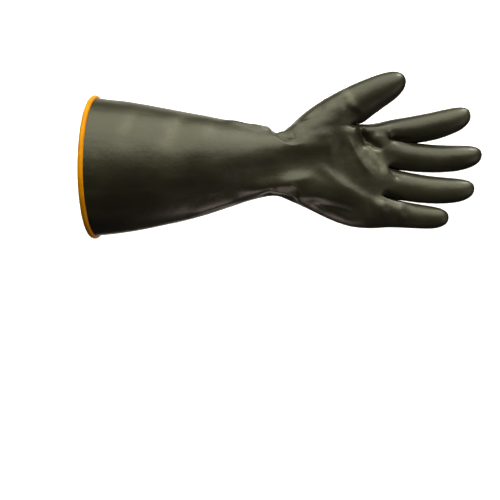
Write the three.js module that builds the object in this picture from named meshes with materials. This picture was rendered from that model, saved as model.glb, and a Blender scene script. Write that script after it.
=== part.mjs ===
// An elbow-length industrial rubber glove for a left hand, in the form it has when worn:
// a wide gauntlet, a loose folded wrist, a palm and five spread fingers, all one dipped
// shell that is hollow to the fingertips, with a rolled bead round the cuff's mouth.
// Units are millimetres. +X runs from the cuff to the fingertips, +Z is the thumb's side
// and -Y is the palm's side. The origin is the centre of the cuff's mouth.

import * as THREE from "three";
import { mergeVertices } from "three/addons/utils/BufferGeometryUtils.js";

// Driving dimensions of the shell
const GAUNTLET_LENGTH = 191; // cuff's mouth to the narrowest place of the wrist
const PALM_LENGTH = 112; // wrist to the webs between the fingers
const CUFF_HEIGHT = 144;
const CUFF_DEPTH = 114;
const CUFF_TURN = 6; // degrees by which the mouth's palm side reaches back along the arm
const CUFF_LEAN = 1; // degrees by which the mouth's lower side reaches back along the arm
const WRIST_HEIGHT = 66;
const WRIST_DEPTH = 60;
const PALM_WIDTH = 112;
const PALM_DEPTH = 42;
const FINGER_LENGTH = 97; // web to tip of the middle finger
const FINGER_WIDTH = 30;
const FINGER_DEPTH = 26;
const THUMB_DEPTH = 28;
const WALL = 1.4;

// Rolled bead
const BEAD_DIAMETER = 5.5;
const BEAD_STANDOFF = 0.9; // how far the bead's centre lies outside the middle of the wall
const SEAT_GAP = 0.3; // clearance between touching pieces

// Columns of the shell's net run round the trunk: the thumb edge, nine down the palm face,
// the little finger edge, and nine up the back. Each list covers the thumb edge, the palm
// face and the little finger edge, and the back repeats the palm face.
const COLUMNS = 20;
const HALF_COLUMNS = COLUMNS / 2;
const FINGER_COLUMNS = 8;

const toRadians = THREE.MathUtils.degToRad;
const mix = THREE.MathUtils.lerp;

// Smoothing a round net of n points draws it in by this factor, so the net is made larger.
const roundNetGrowth = (n) => 3 / (2 + Math.cos((2 * Math.PI) / n));

// Where the columns lie in a section: side is a share of half its width and deep a share
// of half its depth. The gauntlet's sections are plain ovals.
const ROUND_COLUMNS = Array.from({ length: HALF_COLUMNS + 1 }, (_, k) => ({
  side: roundNetGrowth(COLUMNS) * Math.cos((Math.PI * k) / HALF_COLUMNS),
  deep: roundNetGrowth(COLUMNS) * Math.sin((Math.PI * k) / HALF_COLUMNS),
}));
// Across the ball of the thumb the first column beside the thumb edge sits well forward.
const THUMB_COLUMNS = [
  { side: 1.0, deep: 0.0 },
  { side: 0.8, deep: 1.0 },
  { side: 0.62, deep: 1.12 },
  { side: 0.45, deep: 1.04 },
  { side: 0.24, deep: 0.92 },
  { side: 0.02, deep: 0.86 },
  { side: -0.22, deep: 0.9 },
  { side: -0.45, deep: 1.0 },
  { side: -0.68, deep: 0.98 },
  { side: -0.88, deep: 0.74 },
  { side: -1.02, deep: 0.0 },
];
// At the knuckles, reach is a share of the palm's length past the web line.
const KNUCKLE_COLUMNS = [
  { side: 1.0, deep: 0.0, reach: -0.13 },
  { side: 0.96, deep: 0.84, reach: -0.1 },
  { side: 0.86, deep: 1.02, reach: -0.04 },
  { side: 0.73, deep: 0.88, reach: 0.03 },
  { side: 0.46, deep: 1.04, reach: 0.05 },
  { side: 0.19, deep: 0.88, reach: 0.03 },
  { side: -0.07, deep: 1.04, reach: 0.02 },
  { side: -0.34, deep: 0.88, reach: -0.03 },
  { side: -0.62, deep: 1.0, reach: -0.06 },
  { side: -0.88, deep: 0.76, reach: -0.09 },
  { side: -1.02, deep: 0.0, reach: -0.12 },
];

// Sections of the gauntlet. along is a share of its length, flare goes from 0 at the
// wrist's size to 1 at the cuff's size, and rise is a share of the wrist's height.
const GAUNTLET_SECTIONS = [
  { along: 0.0, flare: 1.0, rise: 0.0 },
  { along: 0.03, flare: 0.99, rise: 0.0 },
  { along: 0.16, flare: 0.92, rise: 0.0 },
  { along: 0.33, flare: 0.775, rise: 0.004 },
  { along: 0.5, flare: 0.61, rise: 0.016 },
  { along: 0.64, flare: 0.44, rise: 0.036 },
  { along: 0.75, flare: 0.3, rise: 0.058 },
  { along: 0.83, flare: 0.2, rise: 0.075 },
  { along: 0.89, flare: 0.13, rise: 0.082 },
  { along: 0.95, flare: 0.055, rise: 0.078 },
  { along: 1.0, flare: 0.0, rise: 0.06 },
];

// Sections of the hand. along is a share of the palm's length, spread goes from 0 at the
// wrist's size to 1 at the palm's size, rise is a share of the palm's width, ball is how
// far the columns have moved to the ball of the thumb, fan how far to the knuckles, and
// thick is a share of the section's depth.
const HAND_SECTIONS = [
  { along: 0.1, spread: 0.22, rise: 0.03, ball: 0.4, fan: 0.0, thick: 1.0 },
  { along: 0.25, spread: 0.54, rise: 0.022, ball: 0.8, fan: 0.0, thick: 1.0 },
  { along: 0.4, spread: 0.78, rise: -0.003, ball: 1.0, fan: 0.1, thick: 1.0 },
  { along: 0.55, spread: 0.91, rise: -0.038, ball: 1.0, fan: 0.3, thick: 1.0 },
  { along: 0.72, spread: 0.97, rise: -0.073, ball: 1.0, fan: 0.6, thick: 0.97 },
  { along: 0.86, spread: 0.99, rise: -0.085, ball: 1.0, fan: 0.85, thick: 0.9 },
  { along: 1.0, spread: 1.0, rise: -0.09, ball: 1.0, fan: 1.0, thick: 0.8 },
];
const THUMB_FIRST = 0; // the hand sections between which the thumb leaves the trunk
const THUMB_LAST = 4;

// Fingers, from the index finger down. length, width and depth are shares of the sizes
// above. swing turns the finger up in the palm's plane and curl bends it towards the palm,
// in degrees. bow is how far its middle lies below its chord, as a share of its length, and
// root is the share of its width that it starts with.
const FINGERS = [
  { name: "index", length: 0.98, width: 1.0, depth: 1.0, swing: 10.2, curl: 14, bow: 0.06, root: 0.84 },
  { name: "middle", length: 1.0, width: 0.983, depth: 1.0, swing: -2.3, curl: 12, bow: 0.05, root: 1.08 },
  { name: "ring", length: 0.959, width: 0.963, depth: 0.96, swing: -5.9, curl: 14, bow: 0.05, root: 1.1 },
  { name: "little", length: 0.763, width: 0.85, depth: 0.846, swing: -6.5, curl: 16, bow: 0.02, root: 1.28 },
];
// Sections of a finger: along is a share of its length, girth of its width and depth, and
// open says how far it has grown from its root's width to its own.
const FINGER_SECTIONS = [
  { along: 0.15, girth: 1.0, open: 0.15 },
  { along: 0.35, girth: 1.0, open: 0.7 },
  { along: 0.57, girth: 0.99, open: 1.0 },
  { along: 0.76, girth: 0.93, open: 1.0 },
  { along: 0.9, girth: 0.76, open: 1.0 },
  { along: 0.98, girth: 0.42, open: 1.0 },
];

// Sections of the thumb, each from its outer edge to its inner edge beside the web. The
// places are shares of the palm's length past the wrist and of the palm's width above the
// middle, and forward and stout are shares of the thumb's depth.
const THUMB_SECTIONS = [
  { outerAlong: 0.2, outerUp: 0.478, innerAlong: 0.785, innerUp: 0.402, forward: 0.1, stout: 1.5 },
  { outerAlong: 0.373, outerUp: 0.6, innerAlong: 0.813, innerUp: 0.422, forward: 0.2, stout: 1.3 },
  { outerAlong: 0.556, outerUp: 0.695, innerAlong: 0.873, innerUp: 0.468, forward: 0.3, stout: 1.12 },
  { outerAlong: 0.758, outerUp: 0.794, innerAlong: 0.978, innerUp: 0.546, forward: 0.4, stout: 1.0 },
  { outerAlong: 0.942, outerUp: 0.858, innerAlong: 1.086, innerUp: 0.62, forward: 0.48, stout: 0.92 },
  { outerAlong: 1.07, outerUp: 0.88, innerAlong: 1.162, innerUp: 0.7, forward: 0.54, stout: 0.7 },
  { outerAlong: 1.145, outerUp: 0.85, innerAlong: 1.178, innerUp: 0.77, forward: 0.57, stout: 0.36 },
];
const THUMB_TIP = { along: 1.172, up: 0.808, forward: 0.57 };

// Folds and dents, each along a curve from one place through a bend to another, given as
// [along, up] in the same shares as the thumb's. width is the fold's half width and lift
// its height, negative for a dent, as shares of the palm's width.
const PALM = -1;
const BACK = 1;
const EDGE = 0;
const FOLDS = [
  { name: "wrist valley", side: PALM, from: [-0.55, 0.05], bend: [-0.05, 0.12], to: [0.4, 0.05],
    width: 0.11, lift: -0.05 },
  { name: "wrist ridge", side: PALM, from: [-0.31, -0.22], bend: [0.08, -0.15], to: [0.3, 0.01],
    width: 0.08, lift: 0.04 },
  { name: "pocket", side: PALM, from: [0.07, 0.32], bend: [0.13, 0.25], to: [0.2, 0.31],
    width: 0.07, lift: -0.05 },
  { name: "pocket rim", side: PALM, from: [-0.11, 0.34], bend: [0.04, 0.13], to: [0.22, 0.24],
    width: 0.045, lift: 0.03 },
  { name: "heel ridge", side: PALM, from: [-0.35, -0.38], bend: [0.1, -0.26], to: [0.2, -0.2],
    width: 0.06, lift: 0.035 },
  { name: "heel hollow", side: PALM, from: [-0.15, -0.29], bend: [0.02, -0.26], to: [0.16, -0.26],
    width: 0.06, lift: -0.03 },
  { name: "wrist lip", side: EDGE, from: [-0.2, 0.42], bend: [-0.14, 0.4], to: [-0.1, 0.38],
    width: 0.05, lift: 0.02 },
  { name: "wrist pinch", side: EDGE, from: [-0.02, 0.4], bend: [0.0, 0.35], to: [0.03, 0.3],
    width: 0.05, lift: -0.018 },
  { name: "life line", side: PALM, from: [0.36, 0.05], bend: [0.61, -0.12], to: [0.94, -0.33],
    width: 0.07, lift: 0.02 },
  { name: "web pit", side: PALM, from: [0.69, 0.33], bend: [0.72, 0.3], to: [0.76, 0.29],
    width: 0.07, lift: -0.05 },
  { name: "web crease", side: PALM, from: [0.76, 0.34], bend: [0.86, 0.27], to: [0.96, 0.17],
    width: 0.05, lift: -0.03 },
  { name: "web ridge", side: PALM, from: [0.67, 0.25], bend: [0.74, 0.05], to: [1.0, -0.06],
    width: 0.05, lift: 0.03 },
  { name: "palm hollow", side: PALM, from: [0.5, 0.1], bend: [0.62, 0.02], to: [0.7, -0.06],
    width: 0.12, lift: -0.015 },
  { name: "cuff dent", side: PALM, from: [-1.35, 0.28], bend: [-1.32, 0.36], to: [-1.27, 0.44],
    width: 0.1, lift: -0.02 },
  { name: "arm dent", side: PALM, from: [-0.98, 0.21], bend: [-0.93, 0.32], to: [-0.87, 0.45],
    width: 0.12, lift: -0.025 },
  { name: "upper back fold", side: BACK, from: [-0.2, 0.3], bend: [-0.05, 0.1], to: [0.05, -0.05],
    width: 0.08, lift: 0.035 },
  { name: "lower back fold", side: BACK, from: [-0.12, -0.3], bend: [0.05, -0.12], to: [0.25, 0.05],
    width: 0.08, lift: 0.035 },
  { name: "back valley", side: BACK, from: [-0.35, 0.0], bend: [-0.1, -0.02], to: [0.1, -0.2],
    width: 0.09, lift: -0.04 },
  { name: "knuckle hollow", side: BACK, from: [0.75, 0.16], bend: [0.8, -0.05], to: [0.85, -0.3],
    width: 0.12, lift: -0.02 },
];
const FOLD_STEPS = 12;

// A net of four-sided faces, which refine() smooths into the shell's surface.
class Net {
  constructor() {
    this.points = [];
    this.faces = [];
  }

  addPoint(point) {
    this.points.push(point);
    return this.points.length - 1;
  }

  addFace(...corners) {
    this.faces.push(corners);
  }

  // Faces between two closed rings of as many points, the second one further out.
  bridge(near, far) {
    near.forEach((corner, k) => {
      const next = (k + 1) % near.length;
      this.addFace(corner, near[next], far[next], far[k]);
    });
  }

  // Faces from a closed ring to a point at its end.
  cap(ring, tip) {
    for (let k = 0; k < ring.length; k += 2) {
      this.addFace(ring[k], ring[k + 1], ring[(k + 2) % ring.length], tip);
    }
  }
}

// One Catmull-Clark step: each face becomes four, and all points are smoothed.
function refine(net) {
  const fine = new Net();
  const edges = new Map();
  const around = net.points.map(() => ({ faces: [], mids: [], rims: [] }));
  const average = (list) => {
    const sum = new THREE.Vector3();
    list.forEach((p) => sum.add(p));
    return sum.divideScalar(list.length);
  };
  const edgeOf = (a, b) => {
    const key = a < b ? `${a}_${b}` : `${b}_${a}`;
    if (!edges.has(key)) edges.set(key, { a, b, centres: [] });
    return edges.get(key);
  };
  const centres = net.faces.map((face) => average(face.map((k) => net.points[k])));
  net.faces.forEach((face, f) => {
    face.forEach((corner, k) => {
      edgeOf(corner, face[(k + 1) % face.length]).centres.push(centres[f]);
      around[corner].faces.push(centres[f]);
    });
  });
  for (const edge of edges.values()) {
    const a = net.points[edge.a];
    const b = net.points[edge.b];
    const mid = average([a, b]);
    const rim = edge.centres.length === 1;
    for (const end of [edge.a, edge.b]) {
      around[end].mids.push(mid);
      if (rim) around[end].rims.push(mid);
    }
    edge.id = fine.addPoint(rim ? mid : average([a, b, ...edge.centres]));
  }
  const cornerIds = net.points.map((point, k) => {
    const { faces, mids, rims } = around[k];
    if (!faces.length) return -1;
    const n = faces.length;
    const moved = rims.length
      ? average([...rims, point, point])
      : average(faces)
          .addScaledVector(average(mids), 2)
          .addScaledVector(point, n - 3)
          .divideScalar(n);
    return fine.addPoint(moved);
  });
  net.faces.forEach((face, f) => {
    const centre = fine.addPoint(centres[f]);
    face.forEach((corner, k) => {
      const before = face[(k + face.length - 1) % face.length];
      const after = face[(k + 1) % face.length];
      fine.addFace(cornerIds[corner], edgeOf(corner, after).id, centre, edgeOf(before, corner).id);
    });
  });
  return fine;
}

// A ring of points of a section, in the plane through centre that up and out span.
function sectionRing(net, count, centre, up, out, halfWidth, halfDepth) {
  const grow = roundNetGrowth(count);
  return Array.from({ length: count }, (_, k) => {
    const angle = (2 * Math.PI * k) / count;
    const point = centre
      .clone()
      .addScaledVector(up, grow * halfWidth * Math.cos(angle))
      .addScaledVector(out, grow * halfDepth * Math.sin(angle));
    return net.addPoint(point);
  });
}

// The trunk's column k of a section, as shares of half its width and half its depth.
function columnPlace(k, { ball, fan }) {
  const onBack = k > HALF_COLUMNS;
  const column = onBack ? COLUMNS - k : k;
  const [round, thumb, knuckle] = [ROUND_COLUMNS, THUMB_COLUMNS, KNUCKLE_COLUMNS]
    .map((columns) => columns[column]);
  const deep = mix(mix(round.deep, thumb.deep, ball), knuckle.deep, fan);
  return {
    side: mix(mix(round.side, thumb.side, ball), knuckle.side, fan),
    deep: onBack ? -deep : deep,
    reach: fan * knuckle.reach * PALM_LENGTH,
  };
}

function trunkSections() {
  const gauntlet = GAUNTLET_SECTIONS.map(({ along, flare, rise }) => ({
    x: mix(BEAD_DIAMETER / 2 + SEAT_GAP, GAUNTLET_LENGTH, along),
    turn: Math.tan(toRadians(CUFF_TURN)) * (1 - along) ** 2,
    lean: Math.tan(toRadians(CUFF_LEAN)) * (1 - along) ** 2,
    z: rise * WRIST_HEIGHT,
    halfWidth: mix(WRIST_HEIGHT, CUFF_HEIGHT, flare) / 2,
    halfDepth: mix(WRIST_DEPTH, CUFF_DEPTH, flare) / 2,
    ball: 0,
    fan: 0,
  }));
  const hand = HAND_SECTIONS.map(({ along, spread, rise, ball, fan, thick }) => ({
    x: GAUNTLET_LENGTH + along * PALM_LENGTH,
    turn: 0,
    lean: 0,
    z: rise * PALM_WIDTH,
    halfWidth: mix(WRIST_HEIGHT, PALM_WIDTH, spread) / 2,
    halfDepth: (thick * mix(WRIST_DEPTH, PALM_DEPTH, spread)) / 2,
    ball,
    fan,
  }));
  return [...gauntlet, ...hand];
}

function addTrunk(net) {
  const rings = trunkSections().map((section) =>
    Array.from({ length: COLUMNS }, (_, k) => {
      const { side, deep, reach } = columnPlace(k, section);
      const y = -section.halfDepth * deep;
      const z = section.z + section.halfWidth * side;
      const x = section.x + reach + section.turn * y + section.lean * z;
      return net.addPoint(new THREE.Vector3(x, y, z));
    }),
  );
  const firstHand = GAUNTLET_SECTIONS.length;
  for (let r = 0; r + 1 < rings.length; r += 1) {
    const besideThumb = r >= firstHand + THUMB_FIRST && r < firstHand + THUMB_LAST;
    for (let k = 0; k < COLUMNS; k += 1) {
      const next = (k + 1) % COLUMNS;
      const inThumb = besideThumb && (k === 0 || next === 0);
      if (inThumb) continue;
      net.addFace(rings[r][k], rings[r][next], rings[r + 1][next], rings[r + 1][k]);
    }
  }
  return rings;
}

function middleOf(net, ring) {
  const sum = new THREE.Vector3();
  ring.forEach((k) => sum.add(net.points[k]));
  return sum.divideScalar(ring.length);
}

// The root rings of the fingers share the webs' middle points.
function fingerRoots(net, knuckles) {
  const palm = (k) => knuckles[k];
  const back = (k) => knuckles[(COLUMNS - k) % COLUMNS];
  const sides = [knuckles[0]];
  for (let f = 1; f < FINGERS.length; f += 1) {
    sides.push(net.addPoint(middleOf(net, [palm(2 * f + 1), back(2 * f + 1)])));
  }
  sides.push(knuckles[HALF_COLUMNS]);
  return FINGERS.map((_, f) => {
    const first = 2 * f + 1;
    const columns = [first, first + 1, first + 2];
    return [sides[f], ...columns.map(palm), sides[f + 1], ...columns.map(back).reverse()];
  });
}

function addFinger(net, root, { length, width, depth, swing, curl, bow, root: rootShare }) {
  const start = middleOf(net, root);
  const reach = length * FINGER_LENGTH;
  const turn = toRadians(swing);
  const ahead = new THREE.Vector3(Math.cos(turn), 0, Math.sin(turn));
  const up = new THREE.Vector3(-Math.sin(turn), 0, Math.cos(turn));
  const palmward = new THREE.Vector3(0, -1, 0);
  // The finger bends evenly towards the palm and sags below its chord in between.
  const pointAt = (share) => {
    const bend = (toRadians(curl) * share) / 2;
    return start
      .clone()
      .addScaledVector(ahead, reach * share * Math.cos(bend))
      .addScaledVector(palmward, reach * share * Math.sin(bend))
      .addScaledVector(up, -4 * bow * reach * share * (1 - share));
  };
  let last = root;
  for (const { along, girth, open } of FINGER_SECTIONS) {
    const bend = toRadians(curl) * along;
    const out = palmward
      .clone()
      .multiplyScalar(Math.cos(bend))
      .addScaledVector(ahead, -Math.sin(bend));
    const halfWidth = (girth * width * FINGER_WIDTH * mix(rootShare, 1, open)) / 2;
    const halfDepth = (girth * depth * FINGER_DEPTH) / 2;
    const ring = sectionRing(net, FINGER_COLUMNS, pointAt(along), up, out, halfWidth, halfDepth);
    net.bridge(last, ring);
    last = ring;
  }
  net.cap(last, net.addPoint(pointAt(1)));
}

function addThumb(net, rings) {
  const first = GAUNTLET_SECTIONS.length + THUMB_FIRST;
  const last = GAUNTLET_SECTIONS.length + THUMB_LAST;
  const beside = rings.slice(first, last + 1);
  const palmSide = beside.map((ring) => ring[1]);
  const backSide = beside.map((ring) => ring[COLUMNS - 1]).reverse();
  const root = [rings[first][0], ...palmSide, rings[last][0], ...backSide];
  const pointAt = (along, up, forward) =>
    new THREE.Vector3(
      GAUNTLET_LENGTH + along * PALM_LENGTH, -forward * THUMB_DEPTH, up * PALM_WIDTH);
  const palmward = new THREE.Vector3(0, -1, 0);
  let previous = root;
  for (const section of THUMB_SECTIONS) {
    const outer = pointAt(section.outerAlong, section.outerUp, section.forward);
    const inner = pointAt(section.innerAlong, section.innerUp, section.forward);
    const centre = outer.clone().lerp(inner, 0.5);
    const across = outer.clone().sub(inner);
    const halfWidth = across.length() / 2;
    const halfDepth = (section.stout * THUMB_DEPTH) / 2;
    const ring = sectionRing(
      net, root.length, centre, across.normalize(), palmward, halfWidth, halfDepth);
    net.bridge(previous, ring);
    previous = ring;
  }
  const { along, up, forward } = THUMB_TIP;
  net.cap(previous, net.addPoint(pointAt(along, up, forward)));
}

function shellNet() {
  const net = new Net();
  const rings = addTrunk(net);
  const roots = fingerRoots(net, rings.at(-1));
  roots.forEach((root, f) => addFinger(net, root, FINGERS[f]));
  addThumb(net, rings);
  return net;
}

function pointNormals({ points, faces }) {
  const normals = points.map(() => new THREE.Vector3());
  for (const [a, b, c, d] of faces) {
    const across = points[c].clone().sub(points[a]);
    const normal = across.cross(points[d].clone().sub(points[b]));
    [a, b, c, d].forEach((k) => normals[k].add(normal));
  }
  return normals.map((n) => n.normalize());
}

// Moves the points in or out by the folds that pass near them.
function fold(net) {
  const normals = pointNormals(net);
  const place = ([along, up]) =>
    new THREE.Vector2(GAUNTLET_LENGTH + along * PALM_LENGTH, up * PALM_WIDTH);
  for (const { side, from, bend, to, width, lift } of FOLDS) {
    const curve = new THREE.QuadraticBezierCurve(place(from), place(bend), place(to));
    const line = curve.getPoints(FOLD_STEPS);
    net.points.forEach((point, k) => {
      const flat = new THREE.Vector2(point.x, point.z);
      const distance = Math.min(...line.map((p) => p.distanceTo(flat)));
      const facing = side === EDGE ? 1 : Math.min(1, Math.max(0, 2 * side * normals[k].y));
      const near = Math.exp(-((distance / (width * PALM_WIDTH)) ** 2));
      point.addScaledVector(normals[k], lift * PALM_WIDTH * near * facing);
    });
  }
  return net;
}

// The rim of an open net as an ordered list of point numbers.
function rimOf({ faces }) {
  const following = new Map();
  const count = new Map();
  const key = (a, b) => (a < b ? `${a}_${b}` : `${b}_${a}`);
  const sides = faces.flatMap((face) => face.map((a, k) => [a, face[(k + 1) % 4]]));
  sides.forEach(([a, b]) => count.set(key(a, b), (count.get(key(a, b)) ?? 0) + 1));
  sides.filter(([a, b]) => count.get(key(a, b)) === 1).forEach(([a, b]) => following.set(a, b));
  const [start] = following.keys();
  const rim = [start];
  while (following.get(rim.at(-1)) !== start) rim.push(following.get(rim.at(-1)));
  return rim;
}

function triangles(points, faces) {
  const geometry = new THREE.BufferGeometry();
  geometry.setAttribute("position", new THREE.Float32BufferAttribute(
    points.flatMap((p) => p.toArray()), 3));
  geometry.setIndex(faces.flatMap(([a, b, c, d]) => [a, b, c, a, c, d]));
  geometry.computeVertexNormals();
  return geometry;
}

// The outer surface, the same surface moved in by the wall, and the lip between them.
function hollowShell(surface) {
  const { points, faces } = surface;
  const normals = pointNormals(surface);
  const inner = points.map((p, k) => p.clone().addScaledVector(normals[k], -WALL));
  const shift = points.length;
  const innerFaces = faces.map(([a, b, c, d]) => [d, c, b, a].map((k) => k + shift));
  const rim = rimOf(surface);
  const lip = rim.map((a, k) => {
    const b = rim[(k + 1) % rim.length];
    return [b, a, a + shift, b + shift];
  });
  return triangles([...points, ...inner], [...faces, ...innerFaces, ...lip]);
}

// The bead follows the rim, just clear of the lip.
function beadGeometry(surface) {
  const normals = pointNormals(surface);
  const out = BEAD_STANDOFF - WALL / 2;
  const back = BEAD_DIAMETER / 2 + SEAT_GAP;
  const path = rimOf(surface).map((k) =>
    surface.points[k].clone().addScaledVector(normals[k], out).add(new THREE.Vector3(-back, 0, 0)));
  const curve = new THREE.CatmullRomCurve3(path, true);
  const tube = new THREE.TubeGeometry(curve, 60, BEAD_DIAMETER / 2, 10, true);
  tube.deleteAttribute("normal");
  tube.deleteAttribute("uv");
  const merged = mergeVertices(tube);
  merged.computeVertexNormals();
  return merged;
}

const surface = fold(refine(shellNet()));

const shellMaterial = new THREE.MeshStandardMaterial({
  color: 0x2b2a24, roughness: 0.5, metalness: 0,
});
const beadMaterial = new THREE.MeshStandardMaterial({
  color: 0xf0a010, roughness: 0.45, metalness: 0,
});

const shell = new THREE.Mesh(hollowShell(surface), shellMaterial);
shell.name = "glove_shell";
const bead = new THREE.Mesh(beadGeometry(surface), beadMaterial);
bead.name = "cuff_bead";

const glove = new THREE.Group();
glove.add(shell, bead);
export default glove;
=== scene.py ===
"""An elbow-length industrial rubber glove for a left hand, in the form it has when worn.

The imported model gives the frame, in metres: +X runs from the cuff to the fingertips, +Z is
the thumb's side and -Y the palm's side, and the origin is the centre of the cuff's mouth.
"""

import logging
import math
from collections import Counter
from dataclasses import dataclass, field
from enum import Enum
from typing import Iterable, Optional, Sequence, Union

import bmesh
import bpy
import numpy as np
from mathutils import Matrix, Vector, noise


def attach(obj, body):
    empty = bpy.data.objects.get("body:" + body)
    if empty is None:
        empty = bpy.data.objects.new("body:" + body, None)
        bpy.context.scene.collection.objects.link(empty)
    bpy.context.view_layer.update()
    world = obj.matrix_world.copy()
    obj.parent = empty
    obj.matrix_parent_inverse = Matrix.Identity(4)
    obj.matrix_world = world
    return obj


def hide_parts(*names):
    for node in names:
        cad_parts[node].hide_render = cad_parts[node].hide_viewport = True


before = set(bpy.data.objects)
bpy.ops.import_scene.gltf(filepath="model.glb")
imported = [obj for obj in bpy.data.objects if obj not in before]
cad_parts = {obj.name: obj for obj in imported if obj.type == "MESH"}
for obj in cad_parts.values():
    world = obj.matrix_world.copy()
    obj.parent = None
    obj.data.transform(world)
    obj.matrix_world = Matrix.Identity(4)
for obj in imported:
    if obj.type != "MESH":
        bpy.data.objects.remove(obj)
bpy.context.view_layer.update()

log = logging.getLogger("rubber_glove")

Ring = list[int]
Pair = tuple[float, float]
Colour = tuple[float, float, float]


class Side(Enum):
    """The side of the glove that a fold lies on, as the sign of its normals along Y."""

    PALM = -1
    BACK = 1
    BOTH = 0


class Crest(Enum):
    """The form of a fold's top: a round swell or a pinched edge."""

    ROUND = 2.0
    PINCHED = 1.2


@dataclass(frozen=True)
class GloveSizes:
    """Driving sizes of the glove, in metres and degrees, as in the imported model."""

    gauntlet_length: float = 0.191
    palm_length: float = 0.112
    cuff_height: float = 0.144
    cuff_depth: float = 0.114
    cuff_turn: float = 6.0
    cuff_lean: float = 1.0
    wrist_height: float = 0.066
    wrist_depth: float = 0.060
    palm_width: float = 0.112
    palm_depth: float = 0.042
    finger_length: float = 0.097
    finger_width: float = 0.030
    finger_depth: float = 0.026
    thumb_depth: float = 0.028
    wall: float = 0.0014
    bead_diameter: float = 0.0055
    bead_standoff: float = 0.0009
    bead_reach: float = 0.4

    def place(self, along: float, up: float, forward: float = 0.0) -> Vector:
        """Turns shares of the hand into a place.

        Args:
            along: share of the palm's length past the wrist.
            up: share of the palm's width above the middle.
            forward: share of the thumb's depth towards the palm's side.

        Returns:
            The place in metres.
        """
        x = self.gauntlet_length + along * self.palm_length
        return Vector((x, -forward * self.thumb_depth, up * self.palm_width))


@dataclass(frozen=True)
class Column:
    """Where a column of the net lies, as shares of half the width and half the depth."""

    side: float
    deep: float
    reach: float = 0.0


@dataclass(frozen=True)
class GauntletSection:
    """A section of the gauntlet: shares of its length, of its flare and of the wrist."""

    along: float
    flare: float
    rise: float


@dataclass(frozen=True)
class HandSection:
    """A section of the hand, with how far its columns have moved to thumb and knuckles."""

    along: float
    spread: float
    rise: float
    ball: float
    fan: float
    thick: float


@dataclass(frozen=True)
class Finger:
    """A finger: shares of the named sizes, angles in degrees, then shares of its own sizes."""

    name: str
    length: float
    width: float
    depth: float
    swing: float
    curl: float
    bow: float
    root: float


@dataclass(frozen=True)
class FingerSection:
    """A section of a finger, as shares of its length and of its girth."""

    along: float
    girth: float
    open: float


@dataclass(frozen=True)
class ThumbSection:
    """A section of the thumb from its outer edge to its inner edge, in shares of the hand."""

    outer_along: float
    outer_up: float
    inner_along: float
    inner_up: float
    forward: float
    stout: float


@dataclass(frozen=True)
class Fold:
    """A fold or dent along a curve, placed and sized in shares of the hand.

    width is its half width and lift its height, negative for a dent. skew widens it on the
    right of the curve, and taper is the share of the curve over which its ends die away.
    """

    name: str
    start: Pair
    bend: Pair
    end: Pair
    width: float
    lift: float
    skew: float = 1.0
    taper: float = 0.3
    crest: Crest = Crest.ROUND
    side: Side = Side.PALM


@dataclass(frozen=True)
class BloomAndSheen:
    """A dull patch of rubbed and bloomed rubber, in shares of the hand, whose lighter colour is partly a
    painted highlight of the sheen there.
    """

    start: Pair
    end: Pair
    width: float
    strength: float


THUMB_COLUMNS = (
    Column(1.0, 0.0),
    Column(0.8, 1.0),
    Column(0.62, 1.12),
    Column(0.45, 1.04),
    Column(0.24, 0.92),
    Column(0.02, 0.86),
    Column(-0.22, 0.9),
    Column(-0.45, 1.0),
    Column(-0.68, 0.98),
    Column(-0.88, 0.74),
    Column(-1.02, 0.0),
)
KNUCKLE_COLUMNS = (
    Column(1.0, 0.0, -0.13),
    Column(0.96, 0.84, -0.1),
    Column(0.86, 1.02, -0.04),
    Column(0.73, 0.88, -0.01),
    Column(0.46, 1.04, 0.05),
    Column(0.19, 0.88, -0.01),
    Column(-0.07, 1.04, 0.02),
    Column(-0.34, 0.88, -0.065),
    Column(-0.62, 1.0, -0.06),
    Column(-0.88, 0.76, -0.09),
    Column(-1.02, 0.0, -0.12),
)
GAUNTLET_SECTIONS = (
    GauntletSection(0.0, 1.0, 0.0),
    GauntletSection(0.03, 0.99, 0.0),
    GauntletSection(0.16, 0.92, 0.0),
    GauntletSection(0.33, 0.775, 0.004),
    GauntletSection(0.5, 0.61, 0.016),
    GauntletSection(0.64, 0.44, 0.036),
    GauntletSection(0.75, 0.3, 0.058),
    GauntletSection(0.83, 0.2, 0.075),
    GauntletSection(0.89, 0.13, 0.082),
    GauntletSection(0.95, 0.055, 0.078),
    GauntletSection(1.0, 0.0, 0.06),
)
HAND_SECTIONS = (
    HandSection(0.1, 0.22, 0.03, 0.4, 0.0, 1.0),
    HandSection(0.25, 0.54, 0.022, 0.8, 0.0, 1.0),
    HandSection(0.4, 0.78, -0.003, 1.0, 0.1, 1.0),
    HandSection(0.55, 0.91, -0.038, 1.0, 0.3, 1.0),
    HandSection(0.72, 0.97, -0.073, 1.0, 0.6, 0.97),
    HandSection(0.86, 0.99, -0.085, 1.0, 0.85, 0.9),
    HandSection(1.0, 1.0, -0.09, 1.0, 1.0, 0.8),
)
THUMB_ROWS = 4
FINGERS = (
    Finger("index", 0.997, 1.0, 1.0, 10.2, 14.0, 0.06, 0.84),
    Finger("middle", 1.035, 0.983, 1.0, -2.3, 12.0, 0.05, 1.08),
    Finger("ring", 0.991, 0.963, 0.96, -5.9, 14.0, 0.05, 1.1),
    Finger("little", 0.778, 0.85, 0.846, -6.5, 16.0, 0.02, 1.28),
)
FINGER_SECTIONS = (
    FingerSection(0.15, 1.0, 0.15),
    FingerSection(0.35, 1.0, 0.7),
    FingerSection(0.57, 0.99, 1.0),
    FingerSection(0.76, 0.93, 1.0),
    FingerSection(0.9, 0.76, 1.0),
    FingerSection(0.98, 0.42, 1.0),
)
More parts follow.
